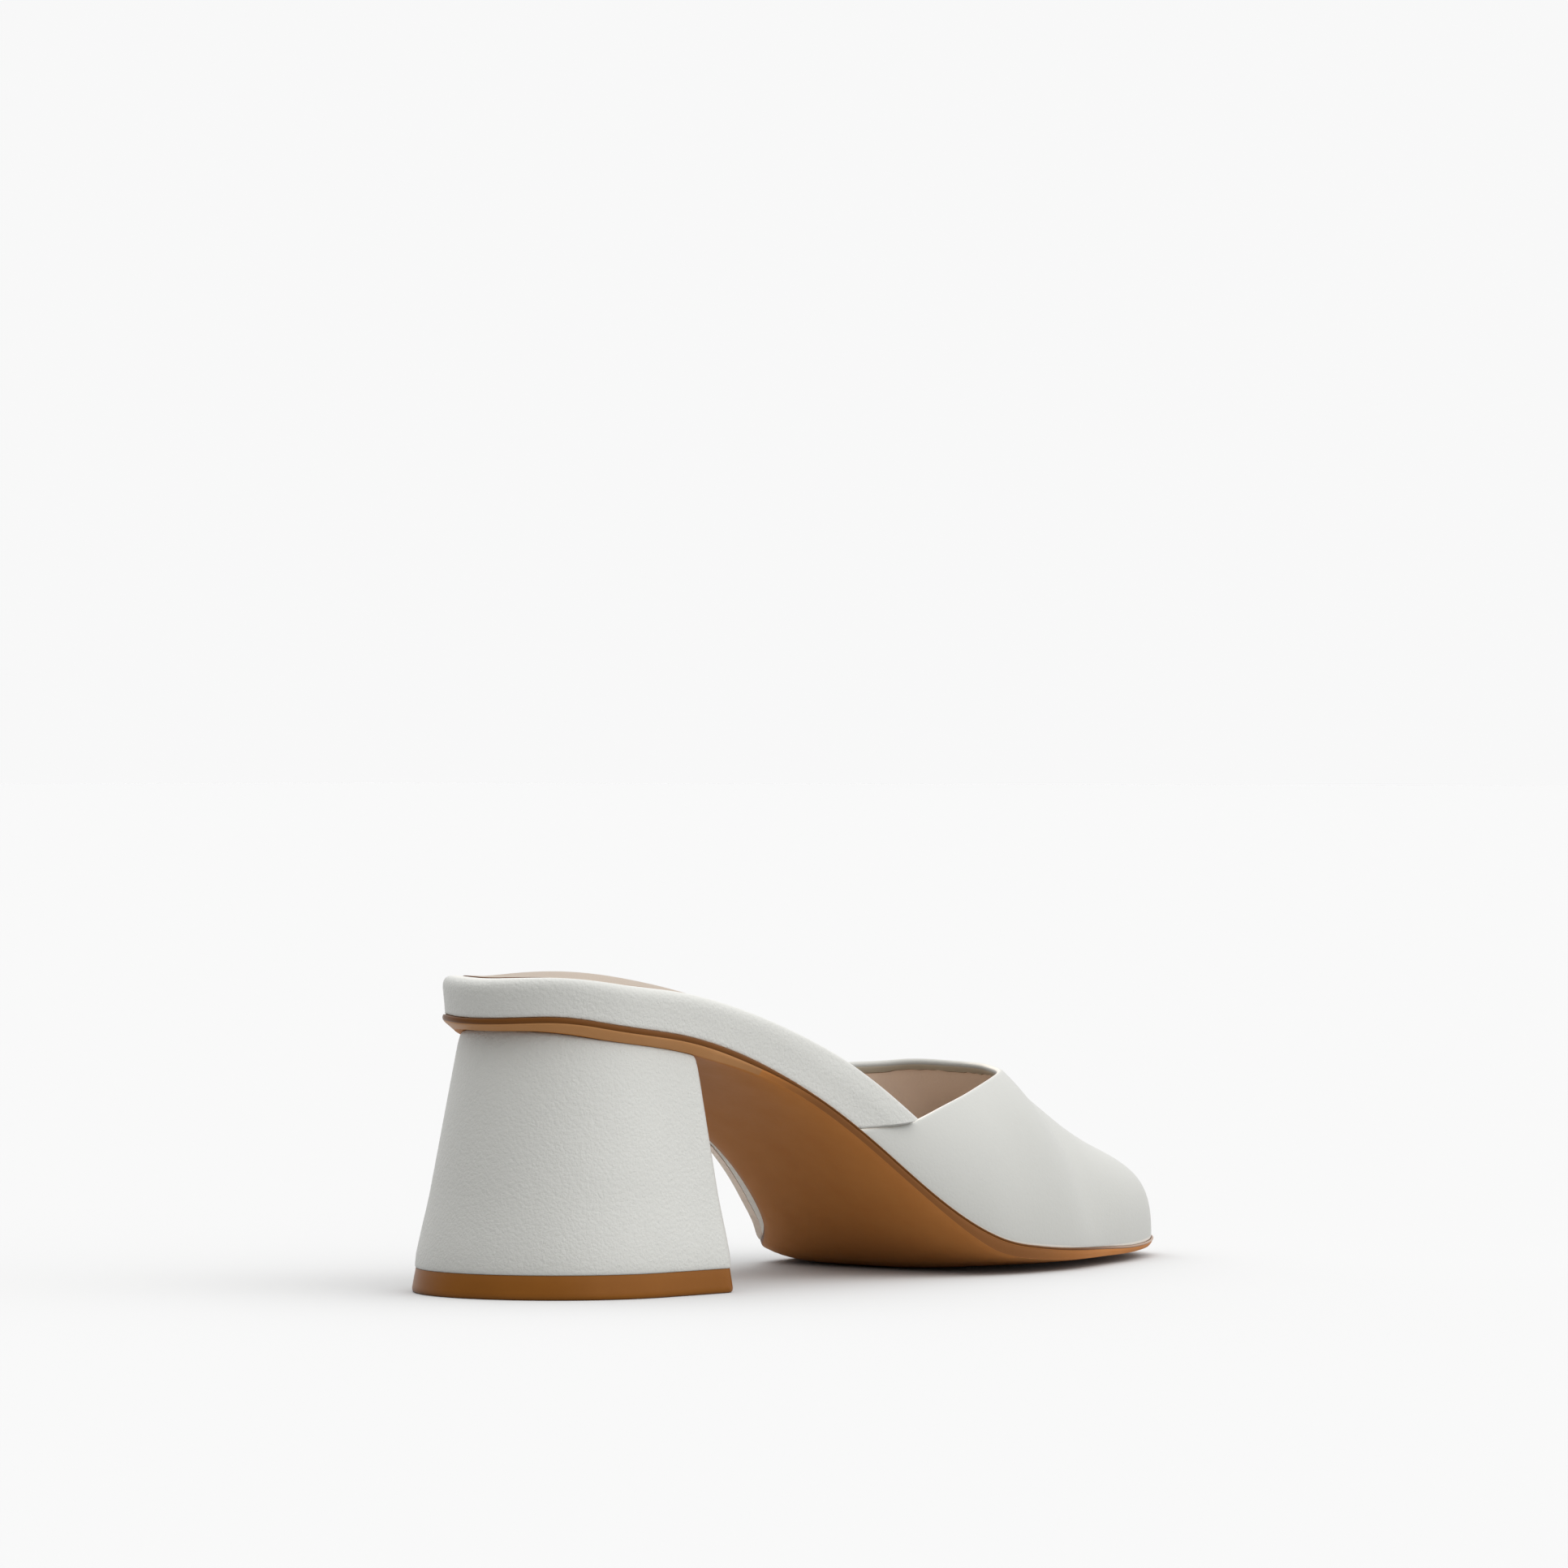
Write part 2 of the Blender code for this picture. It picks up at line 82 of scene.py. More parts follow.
# ---- tables ------------------------------------------------------------------------
SOLE_COLUMNS = ("along", "rise", "middle", "half", "roll")
SOLE_ROWS = (
    (6, 60.2, 0.0, 26.0, 0.0),
    (13, 60.65, 0.0, 26.2, 0.0),
    (24, 59.0, 0.0, 26.4, 0.0),
    (44, 56.15, -0.2, 26.6, 0.0),
    (60, 52.1, -1.0, 26.0, 0.2),
    (76, 46.2, -2.0, 24.9, 0.34),
    (92, 38.3, -3.2, 24.3, 0.48),
    (106, 28.6, -4.6, 24.8, 1.0),
    (118, 18.3, -5.4, 27.4, 1.7),
    (128, 9.6, -4.5, 31.5, 3.3),
    (137, 4.3, -1.45, 37.05, 4.2),
    (147, 3.05, 0.4, 39.4, 3.5),
    (158, 2.9, 2.0, 40.0, 2.6),
    (168, 2.8, 2.6, 38.7, 2.15),
    (180, 2.8, 3.2, 35.3, 1.7),
    (195, 2.9, 3.8, 30.8, 1.0),
    (207, 3.3, 4.0, 27.4, 0.65),
    (217, 4.0, 4.0, 25.4, 0.4),
    (228, 5.2, 4.0, 24.0, 0.3),
)
BUILD_COLUMNS = ("along", "sole", "bevel", "bed")
BUILD_ROWS = (
    (6, 3.0, 2.8, 8.25),
    (20, 3.3, 2.9, 8.8),
    (45, 3.4, 2.4, 9.35),
    (60, 3.2, 1.7, 9.7),
    (80, 3.0, 1.0, 10.6),
    (95, 3.0, 0.95, 11.1),
    (110, 3.0, 0.9, 10.9),
    (145, 3.0, 0.9, 8.8),
    (165, 2.9, 0.9, 7.4),
    (180, 2.6, 0.9, 6.5),
    (195, 2.1, 0.9, 5.8),
    (210, 1.7, 0.9, 5.2),
    (228, 1.5, 0.9, 4.6),
)
PAD_ROWS = (            # how high the sock's middle stands above its edge
    (6, 0.0), (17, 0.0), (26, 2.0), (35, 3.0), (46, 3.0), (60, 2.9), (75, 1.85), (95, 0.8),
    (130, 0.5), (228, 0.4),
)
INNER_ROLL_ROWS = (     # how far the inner edge rolls up off the floor
    (6, 0), (112, 0), (126, 0.3), (133, 0.8), (140, 1.1), (146, 0.8), (153, 0.3), (162, 0.1),
    (228, 0),
)
INNER_SKIVE_ROWS = (    # how much thinner the sole is at its inner edge
    (6, 0), (78, 0), (95, 1.2), (112, 1.7), (126, 1.9), (133, 1.9), (140, 1.9), (147, 1.2),
    (154, 0.4), (162, 0), (228, 0),
)
OUTER_SKIVE_ROWS = (    # the same at its outer edge
    (6, 0), (56, 0), (66, 0.7), (84, 1.4), (110, 1.6), (122, 1.4), (131, 0.6), (137, 0),
    (145, 0), (228, 0),
)
UPPER_COLUMNS = ("along", "ridge_side", "ridge_up", "outer_fullness", "inner_fullness")
UPPER_ROWS = (
    (97, 1.5, 60.0, 2.0, 2.40),
    (115, 3.0, 57.4, 2.0, 2.40),
    (130, 4.6, 56.2, 1.97, 2.42),
    (145, 6.2, 55.6, 1.94, 2.46),
    (160, 7.2, 53.6, 1.97, 2.50),
    (168, 7.1, 50.5, 1.77, 2.50),
    (175, 6.9, 46.6, 1.64, 2.50),
    (182, 6.9, 40.2, 1.89, 2.52),
    (189, 7.0, 34.9, 2.14, 2.55),
    (200, 6.8, 29.2, 2.44, 2.60),
    (210, 6.4, 25.6, 2.62, 2.70),
    (223, 5.2, 20.4, 2.76, 2.80),
)
BACK_LINE = (           # round the upper, outer foot to inner foot: throat and wings
    (-1.0, 99.8), (-0.934, 103.6), (-0.84, 109.9), (-0.764, 115.1), (-0.717, 118.3),
    (-0.643, 123.9), (-0.577, 130.0), (-0.523, 136.6), (-0.478, 144.0), (-0.44, 151.2),
    (-0.32, 165.0), (-0.2, 171.6),
    (-0.08, 174.7), (0.03, 174.9), (0.12, 173.7), (0.23, 170.7), (0.35, 163.9), (0.45, 152.2),
    (0.55, 139), (0.7, 121), (0.85, 108), (1.0, 97),
)
# The same for the toe's opening.
FRONT_LINE = ((-1.0, 222.5), (-0.6, 219.5), (0.0, 215.5), (0.6, 219.5), (1.0, 222.5))
# Back, breast, half width, length of the round back, corner radius.
HEEL_FOOT = (0.0, 56.0, 32.1, 31.4, 4.0)
HEEL_TOP = (11.3, 50.2, 24.2, 25.5, 2.5)


# ---- curves ------------------------------------------------------------------------
class Curve:
    """A natural cubic spline through pairs of station and value."""

    def __init__(self, pairs):
        self.x = [float(x) for x, _ in pairs]
        self.y = [float(y) for _, y in pairs]
        last = len(self.x) - 1
        step = [b - a for a, b in zip(self.x, self.x[1:])]
        rate = [(b - a) / h for a, b, h in zip(self.y, self.y[1:], step)]
        self.bend = [0.0] * (last + 1)
        scale, carried = [0.0] * (last + 1), [0.0] * (last + 1)
        for i in range(1, last):
            pivot = 2 * (step[i - 1] + step[i]) - step[i - 1] * scale[i - 1]
            scale[i] = step[i] / pivot
            carried[i] = (6 * (rate[i] - rate[i - 1]) - step[i - 1] * carried[i - 1]) / pivot
        for i in range(last - 1, 0, -1):
            self.bend[i] = carried[i] - scale[i] * self.bend[i + 1]

    def __call__(self, x):
        x = min(max(x, self.x[0]), self.x[-1])
        i = min(bisect_right(self.x, x) - 1, len(self.x) - 2)
        h = self.x[i + 1] - self.x[i]
        t = x - self.x[i]
        slope = (self.y[i + 1] - self.y[i]) / h - h * (2 * self.bend[i] + self.bend[i + 1]) / 6
        return (self.y[i] + t * slope + t * t * self.bend[i] / 2
                + t ** 3 * (self.bend[i + 1] - self.bend[i]) / (6 * h))


def curves(rows, columns):
    """One curve for each named column."""
    return {name: Curve([(row[0], row[i]) for row in rows])
            for i, name in enumerate(columns) if i}


SOLE = curves(SOLE_ROWS, SOLE_COLUMNS)
BUILD = curves(BUILD_ROWS, BUILD_COLUMNS)
UPPER = curves(UPPER_ROWS, UPPER_COLUMNS)
PAD = Curve(PAD_ROWS)
INNER_ROLL = Curve(INNER_ROLL_ROWS)
INNER_SKIVE = Curve(INNER_SKIVE_ROWS)
OUTER_SKIVE = Curve(OUTER_SKIVE_ROWS)
BACK = Curve(BACK_LINE)
WING = Curve(WING_LINE)
FRONT = Curve(FRONT_LINE)


def ease(t):
    """0 to 1, flat at both ends."""
    t = min(max(t, 0.0), 1.0)
    return t * t * (3 - 2 * t)


def mix(a, b, share):
    return a + (b - a) * share


def spread(first, last, count):
    return [first + (last - first) * i / (count - 1) for i in range(count)]


def end_crowded(count):
    """Shares from 0 to 1, close together at the round ends."""
    return [0.5 - 0.5 * math.cos(math.pi * i / (count - 1)) for i in range(count)]


# ---- the shoe's form ---------------------------------------------------------------
def overhang(x):
    return ARCH_OVERHANG * ease((x - 55) / 45) * (1 - ease((x - 120) / 24))


def waist_cut(x):
    return ARCH_CUT * ease((x - 55) / 30) * (1 - ease((x - 133) / 4))


def half_width(x, inset):
    back = min(max((x - SEAT_BACK - inset) / (SEAT_ROUND - inset), 0.0), 1.0)
    front = min(max((LENGTH - inset - x) / (TOE_ROUND - inset), 0.0), 1.0)
    seat_end = math.sqrt(1 - (1 - back) ** 2)
    toe_end = (1 - (1 - front) ** TOE_SQUARE) ** (1 / TOE_SQUARE)
    return (SOLE["half"](x) - inset) * seat_end * toe_end


def side_at(x, side, inset, over=0.0):
    return SOLE["middle"](x) + side * half_width(x, inset) + max(side, 0.0) * over


def foot_height(x, y):
    """Height of the sole's top under the upper. Both edges roll up from the floor."""
    across = (y - SOLE["middle"](x)) / SOLE["half"](x)
    outer = min(max(-across, 0.0), 1.0)
    inner = min(max(across, 0.0), 1.0)
    return SOLE["rise"](x) + SOLE["roll"](x) * outer ** 2 + INNER_ROLL(x) * inner ** 5


def sole_thick(x, y):
    """The sole is skived thin along both sides of the arch."""
    across = (y - SOLE["middle"](x)) / SOLE["half"](x)
    skive = INNER_SKIVE if across > 0 else OUTER_SKIVE
    return BUILD["sole"](x) - max(skive(x), 0.0) * min(abs(across), 1.0) ** 5


def pitch(x):
    return math.atan2(SOLE["rise"](x - 0.5) - SOLE["rise"](x + 0.5), 1.0)


def along(share, inset):
    return SEAT_BACK + inset + share * (LENGTH - SEAT_BACK - 2 * inset)


def upper_section(x, around):
    """Outer face of the upper: around is -1 at the outer foot, 0 on the ridge, 1 inside."""
    side = -1 if around < 0 else 1
    foot_y = side_at(x, side, UPPER_INSET, overhang(x))
    foot_z = foot_height(x, foot_y)
    full = UPPER["outer_fullness" if around < 0 else "inner_fullness"](x)
    turn = (1 - abs(around)) * math.pi / 2
    ridge = UPPER["ridge_side"](x)
    y = ridge + (foot_y - ridge) * max(math.cos(turn), 0.0) ** (2 / full)
    z = foot_z + (UPPER["ridge_up"](x) - foot_z) * math.sin(turn) ** (2 / full)
    return Vector((x, y, z))


def upper_lean(x, side, height):
    foot_y = side_at(x, side, UPPER_INSET, overhang(x))
    foot_z = foot_height(x, foot_y)
    full = UPPER["outer_fullness" if side < 0 else "inner_fullness"](x)
    share = min(max(height / (UPPER["ridge_up"](x) - foot_z), 0.0), 0.95)
    reach = abs(foot_y - UPPER["ridge_side"](x))
    return reach * (1 - (1 - share ** full) ** (1 / full))


def slanted(base, share_up):
    near = ease((base - 55) / 40) * (1 - ease((base - 115) / 45))
    return base + (WING(share_up) - WING_SLANT / 2) * near


def covered(base, side, before, length):
    edge = WING_FOOT[side] + WING_SLANT / 2
    return ease((base - edge + before + length) / length)


def inside_upper(nominal, side, height):
    """How far in a piece stays clear of the upper. Both sides agree at the toe."""
    room = {}
    for hand in (-1, 1):
        spare = 0.15 if hand < 0 else mix(0.1, 1.6, ease(height / 5))
        lean = upper_lean(nominal, hand, height + GAP)
        room[hand] = UPPER_INSET + WALL + GAP + spare + 1.08 * lean
    return mix(room[side], max(room.values()), ease((nominal - 190) / 20))


def share_of(x):
    return (x - SEAT_BACK) / (LENGTH - SEAT_BACK)


# ---- making pieces -----------------------------------------------------------------
def to_row(point):
    return Vector((point[0] - BOX_MIDDLE[0], point[1] - BOX_MIDDLE[1], point[2])) * MM


def grid(columns, rows, place, paint=None):
    """A grid whose vertices are moved to place(column, row): a point, then how much painted
    light and burnish it takes.
    """
    mesh = bmesh.new()
    bmesh.ops.create_grid(mesh, x_segments=columns, y_segments=rows, size=1.0)
    painted_light_and_burnish = mesh.verts.layers.float.new("painted_light_and_burnish")
    if paint:
        for face in mesh.faces:
            middle = face.calc_center_median()
            face.material_index = paint(int((middle.x + 1) / 2 * columns),
                                        int((middle.y + 1) / 2 * rows))
    for vertex in mesh.verts:
        column = round((vertex.co.x + 1) / 2 * columns)
        row = round((vertex.co.y + 1) / 2 * rows)
        point = place(column, row)
        vertex.co = to_row(point)
        vertex[painted_light_and_burnish] = point[3] if len(point) > 3 else 0.0
    return mesh


def closed(mesh, cap=0):
    """Weld a rolled-up grid along its seam, and cap its two ends."""
    bmesh.ops.remove_doubles(mesh, verts=mesh.verts, dist=2e-7)
    open_edges = [edge for edge in mesh.edges if edge.is_boundary]
    for face in bmesh.ops.holes_fill(mesh, edges=open_edges, sides=0)["faces"]:
        face.material_index = cap
    bmesh.ops.triangulate(mesh, faces=[face for face in mesh.faces if len(face.verts) > 4])
    bmesh.ops.recalc_face_normals(mesh, faces=mesh.faces)
    return mesh


def piece_of(name, mesh, materials, node, sharp=35):
    """Finish a mesh as a piece that rides on the shoe and stands for a CAD node."""
    data = bpy.data.meshes.new(name)
    mesh.to_mesh(data)
    mesh.free()
    data.shade_smooth()
    data.set_sharp_from_angle(angle=math.radians(sharp))
    for material in materials:
        data.materials.append(material)
    piece = bpy.data.objects.new(name, data)
    bpy.context.scene.collection.objects.link(piece)
    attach(piece, "root")
    if node:
        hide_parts(node)
    return piece


# ---- materials ---------------------------------------------------------------------
def linear(code):
    """A hex colour as linear red, green, blue and alpha."""
    parts = [int(code[i:i + 2], 16) / 255 for i in (1, 3, 5)]
    return (*[c / 12.92 if c <= 0.04045 else ((c + 0.055) / 1.055) ** 2.4 for c in parts], 1.0)


def add(tree, kind, settings=None, links=None):
    """Add one node with its settings and links. Capitalised or numbered keys are sockets."""
    made = tree.nodes.new(kind)
    for key, value in (settings or {}).items():
        if isinstance(key, int) or key[0].isupper():
            made.inputs[key].default_value = value
        else:
            setattr(made, key, value)
    for key, source in (links or {}).items():
        tree.links.new(source, made.inputs[key])
    return made


def new_material(name):
    material = bpy.data.materials.new(name)
    material.use_nodes = True
    tree = material.node_tree
    tree.nodes.clear()
    return material, tree


def finish(tree, settings, links):
    shader = add(tree, "ShaderNodeBsdfPrincipled", settings, links)
    add(tree, "ShaderNodeOutputMaterial", links={"Surface": shader.outputs["BSDF"]})
    return shader


def per_mm(size):
    """Pattern scale on Object coordinates for a feature of this size in millimetres."""
    return 1.0 / (size * MM)


def grained_leather(name, body, shade, grain=0.9, strength=0.35, roughness=(0.42, 0.56),
                    depth=0.12, edge="#f0e6d8"):
    """Finished calf leather: a fine pebbled grain pressed into a thin pigment coat."""
    material, tree = new_material(name)
    where = add(tree, "ShaderNodeTexCoord").outputs["Object"]
    drift = add(tree, "ShaderNodeTexNoise", {"Scale": per_mm(3.0), "Detail": 2.0},
                {"Vector": where})
    bent = add(tree, "ShaderNodeMixRGB", {"blend_type": "LINEAR_LIGHT", "Fac": 0.0004},
               {"Color1": where, "Color2": drift.outputs["Color"]})
    cells = add(tree, "ShaderNodeTexVoronoi",
                {"feature": "SMOOTH_F1", "Scale": per_mm(grain), "Smoothness": 0.6},
                {"Vector": bent.outputs["Color"]})
    pores = add(tree, "ShaderNodeTexNoise",
                {"Scale": per_mm(grain * 0.45), "Detail": 3.0, "Roughness": 0.6},
                {"Vector": where})
    height = add(tree, "ShaderNodeMath", {"operation": "MULTIPLY_ADD", 1: -0.8},
                 {0: cells.outputs["Distance"], 2: pores.outputs["Fac"]})
    bump = add(tree, "ShaderNodeBump", {"Strength": strength, "Distance": depth * MM},
               {"Height": height.outputs["Value"]})
    clouds = add(tree, "ShaderNodeTexNoise", {"Scale": per_mm(22.0), "Detail": 3.0},
                 {"Vector": where})
    tone = add(tree, "ShaderNodeMixRGB",
               {"Color1": linear(body), "Color2": linear(shade)}, {"Fac": clouds.outputs["Fac"]})
    # Painted light: the attribute mixes in the pale cream edge colour, as painted highlights
    # along rolled edges and painted light on undersides.
    painted_light_and_burnish = add(tree, "ShaderNodeAttribute", {"attribute_name": "painted_light_and_burnish"}).outputs["Fac"]
    painted_light_mix = add(tree, "ShaderNodeMixRGB", {"Color2": linear(edge)},
                 {"Fac": painted_light_and_burnish, "Color1": tone.outputs["Color"]})
    gloss = add(tree, "ShaderNodeMapRange", {"To Min": roughness[0], "To Max": roughness[1]},
                {"Value": pores.outputs["Fac"]})
    finish(tree, {"IOR": 1.46, "Specular IOR Level": 0.45, "Coat Weight": 0.08,
                  "Coat Roughness": 0.35},
           {"Base Color": painted_light_mix.outputs["Color"], "Roughness": gloss.outputs["Result"],
            "Normal": bump.outputs["Normal"]})
    return material


def sole_leather(name, body, shade, roughness=(0.36, 0.5), edge="#4b2f1c"):
    """Vegetable-tanned sole leather: smooth, burnished, with a faint fibrous mottle."""
    material, tree = new_material(name)
    where = add(tree, "ShaderNodeTexCoord").outputs["Object"]
    mottle = add(tree, "ShaderNodeTexNoise",
                 {"Scale": per_mm(9.0), "Detail": 5.0, "Roughness": 0.6}, {"Vector": where})
    fibres = add(tree, "ShaderNodeTexNoise",
                 {"Scale": per_mm(0.5), "Detail": 3.0, "Roughness": 0.7}, {"Vector": where})
    tone = add(tree, "ShaderNodeMixRGB",
               {"Color1": linear(body), "Color2": linear(shade)}, {"Fac": mottle.outputs["Fac"]})
    bump = add(tree, "ShaderNodeBump", {"Strength": 0.12, "Distance": 0.06 * MM},
               {"Height": fibres.outputs["Fac"]})
    gloss = add(tree, "ShaderNodeMapRange", {"To Min": roughness[0], "To Max": roughness[1]},
                {"Value": mottle.outputs["Fac"]})
    # The attribute mixes in the second edge colour: on the sole's bottom a darker burnish with
    # painted shade along the bevel, on the edge paint a pale painted reflection at the toe.
    painted_light_and_burnish = add(tree, "ShaderNodeAttribute", {"attribute_name": "painted_light_and_burnish"}).outputs["Fac"]
    burnish_and_painted_light_mix = add(tree, "ShaderNodeMixRGB", {"Color2": linear(edge)},
                {"Fac": painted_light_and_burnish, "Color1": tone.outputs["Color"]})
    finish(tree, {"IOR": 1.48, "Specular IOR Level": 0.07},
           {"Base Color": burnish_and_painted_light_mix.outputs["Color"], "Roughness": gloss.outputs["Result"],
            "Normal": bump.outputs["Normal"]})
    return material


UPPER_LEATHER = grained_leather("pigmented_calf_upper", "#9a9a96", "#959591", grain=0.8,
                                strength=0.3)
WRAP_LEATHER = grained_leather("pigmented_calf_wrap", "#a9a9a5", "#a3a39f", grain=0.8,
                               strength=0.9, depth=0.14)
# Painted light: the lining is drawn much paler than its own tan, standing in for light that
# reaches inside the throat.
LINING_PAINTED_LIGHT = grained_leather("lining_pigskin_painted_light", "#fae7d7", "#f2decc", grain=0.7, strength=0.4,
                         roughness=(0.55, 0.7))
# Painted light: the turned-in band is the upper's own leather drawn paler and warmer, standing
# in for light and warm bounce inside the throat.
TURNED_IN_PAINTED_LIGHT = grained_leather("pigmented_calf_turned_in_painted_light", "#c2bdae", "#bab5a6", grain=0.8,
                            strength=0.3)
SOCK_LEATHER = grained_leather("sock_sheepskin", "#81705e", "#796957", grain=0.7, strength=0.35,
                               roughness=(0.4, 0.55))
CUT_EDGE = sole_leather("sock_cut_edge", "#6e4729", "#5e3b22", roughness=(0.6, 0.7))
# A brown line where the lining meets the turned-in leather: partly the seam, partly painted
# shadow of the step.
SEAM_AND_PAINTED_SHADOW = sole_leather("lining_seam_and_painted_shadow", "#8f7660", "#806954", roughness=(0.6, 0.7))
# Its dark second edge colour darkens the bevel: partly burnished leather, partly painted shade.
SOLE_BOTTOM = sole_leather("sole_bottom_leather", "#ad733c", "#a26733", (0.45, 0.6))
# Its pale second edge colour is a painted reflection on the edge paint towards the toe.
SOLE_EDGE_PAINT = sole_leather("sole_edge_paint", "#5f3a18", "#513012", roughness=(0.3, 0.4),
                               edge="#8f7868")
SOLE_BEVEL = sole_leather("sole_bevel_leather", "#a1754c", "#956a41", roughness=(0.34, 0.46))
LIFT = sole_leather("heel_lift_leatherboard", "#724619", "#673e14", roughness=(0.28, 0.4))


# ---- outsole -----------------------------------------------------------------------
def make_outsole():
    """Ring round the sole at each station: top, painted edge, bevel and underside."""
    edge_steps = (0.0, 0.06, 0.2, 0.5, 0.8, 0.94, 1.0)      # shares down the painted edge
    bevel_steps = (0.06, 0.2, 0.45, 0.7, 0.88, 0.97)        # shares of the bevel
    ring = [("top", side, 0.0) for side in spread(-1, 1, 9)]
    ring += [("edge", 1, down) for down in edge_steps]
    ring += [("bevel", 1, out) for out in bevel_steps]
    ring += [("under", side, 1.0) for side in spread(1, -1, 29)]
    ring += [("bevel", -1, out) for out in reversed(bevel_steps)]
    ring += [("edge", -1, down) for down in reversed(edge_steps)]
    shares = end_crowded(230)

    def paint(column, row):
        kinds = {ring[column][0], ring[(column + 1) % len(ring)][0]}
        if "bevel" in kinds and along(shares[row], 0) < 68:
            return 2
        return 0 if kinds & {"under", "bevel"} else 1

    def place(column, row):
        kind, side, step = ring[column % len(ring)]
        share = shares[row]
        base = along(share, 0)
        seat = 1 - ease((base - 60) / 30)
        if kind == "top":
            inset = 0.4
        elif kind == "edge":
            inset = 0.3 - 0.3 * math.sqrt(max(1 - (2 * step - 1) ** 2, 0.0))
        else:
            inset = max(step * BUILD["bevel"](base), 0.3)
        x = along(share, inset)
        y = side_at(x, side, inset, -waist_cut(x))
        thick = sole_thick(x, y)
        edge = min(mix(0.55, 1.3, seat), 0.7 * thick)
        drop = {"top": JOINT, "edge": mix(JOINT, edge, step), "bevel": mix(edge, thick, step),
                "under": thick}[kind]
        lean = pitch(x)
        z = foot_height(x, y) - drop * math.cos(lean)
        burnish_and_painted_light_mix = 0.0         # darker along the bevel, partly burnished leather and partly painted shade; the edge paint turns pale towards the toe as a painted reflection
        if kind == "bevel" or abs(side) == 1.0 and kind == "under":
            burnish_and_painted_light_mix = (1 - seat) * mix(0.75, 0.1, ease((x - 140) / 50))
            burnish_and_painted_light_mix *= 0.3 if kind == "under" else 1.0
        if kind == "edge":
            burnish_and_painted_light_mix = ease((x - 165) / 35)
        return x - drop * math.sin(lean), y, max(z, 0.0), burnish_and_painted_light_mix

    mesh = closed(grid(len(ring), len(shares) - 1, place, paint))
    return piece_of("outsole_leather", mesh, [SOLE_BOTTOM, SOLE_EDGE_PAINT, SOLE_BEVEL],
                    "outsole", 60)


# ---- footbed -----------------------------------------------------------------------
def bed_stations(count):
    round_ends = [along(share, 0) for share in end_crowded(count)]
    near_wing = [103.0 + 0.35 * i for i in range(20)]
    return sorted([x for x in round_ends if x < 102.8 or x > 110.2] + near_wing)


def make_footbed():
    """The board's wrapped rim, with the tray for the sock."""
    side_steps = ((0.0, 0.35), (0.012, 0.12), (0.035, 0.02), (0.1, 0.0), (0.3, -0.12),
                  (0.5, -0.3), (0.68, -0.45), (0.78, -0.42), (0.85, -0.26), (0.905, 0.02),
                  (0.945, 0.36), (0.975, 0.85), (0.993, 1.4), (1.0, 2.0))
    ring = [("under", side, 0.0, 0.35) for side in spread(-0.8, 0.8, 5)]
    ring += [("side", 1, up, inset) for up, inset in side_steps]
    ring += [("side", 1, 1.0, 2.7), ("lip", 1, 0.995, 3.3), ("lip", 1, 0.97, 3.6),
             ("tray", 1, 1.0, 3.7)]
    ring += [("tray", side, 1.0, 3.7) for side in spread(0.8, -0.8, 7)]
    ring += [("tray", -1, 1.0, 3.7), ("lip", -1, 0.97, 3.6), ("lip", -1, 0.995, 3.3),
             ("side", -1, 1.0, 2.7)]
    ring += [("side", -1, up, inset) for up, inset in reversed(side_steps)]
    stations = bed_stations(170)

    def place(column, row):
        kind, side, up, own_inset = ring[column % len(ring)]
        base = stations[row]
        hand = 1 if side > 0 else -1
        nominal = slanted(base, up)
        height = up * BUILD["bed"](nominal) / math.cos(pitch(nominal))
        if kind in ("lip", "tray"):
            wrap = covered(base, hand, *TRAY_NARROWS)
            clear = inside_upper(nominal, hand, height) + own_inset - LIP_MIDDLE
        else:
            wrap = covered(base, hand, *RIM_ENDS[hand])
            clear = inside_upper(nominal, hand, height) + 0.3 * own_inset
            if up > 0.7:
                own_inset *= mix(1.0, 0.4, ease((base - 55) / 45))
        inset = mix(UPPER_INSET + own_inset, clear, wrap)
        x = along(share_of(nominal), inset)
        y = side_at(x, side, inset, overhang(x))
        z = foot_height(x, y) + height - (TRAY_DEPTH if kind == "tray" else 0.0)
        # Painted light: the underside is lightened and the rim's bottom edge takes a cream
        # painted highlight; the top edge, lip and tray take a faint one.
        painted_light_and_burnish = 0.6 if kind == "under" else 0.1
        if kind == "side" and up <= 0.98:
            painted_light_and_burnish = 0.6 if up < 0.02 else 0.0
        return x, y, z, painted_light_and_burnish

    mesh = closed(grid(len(ring), len(stations) - 1, place))
    return piece_of("footbed_wrapped_rim", mesh, [WRAP_LEATHER], "footbed", 60)


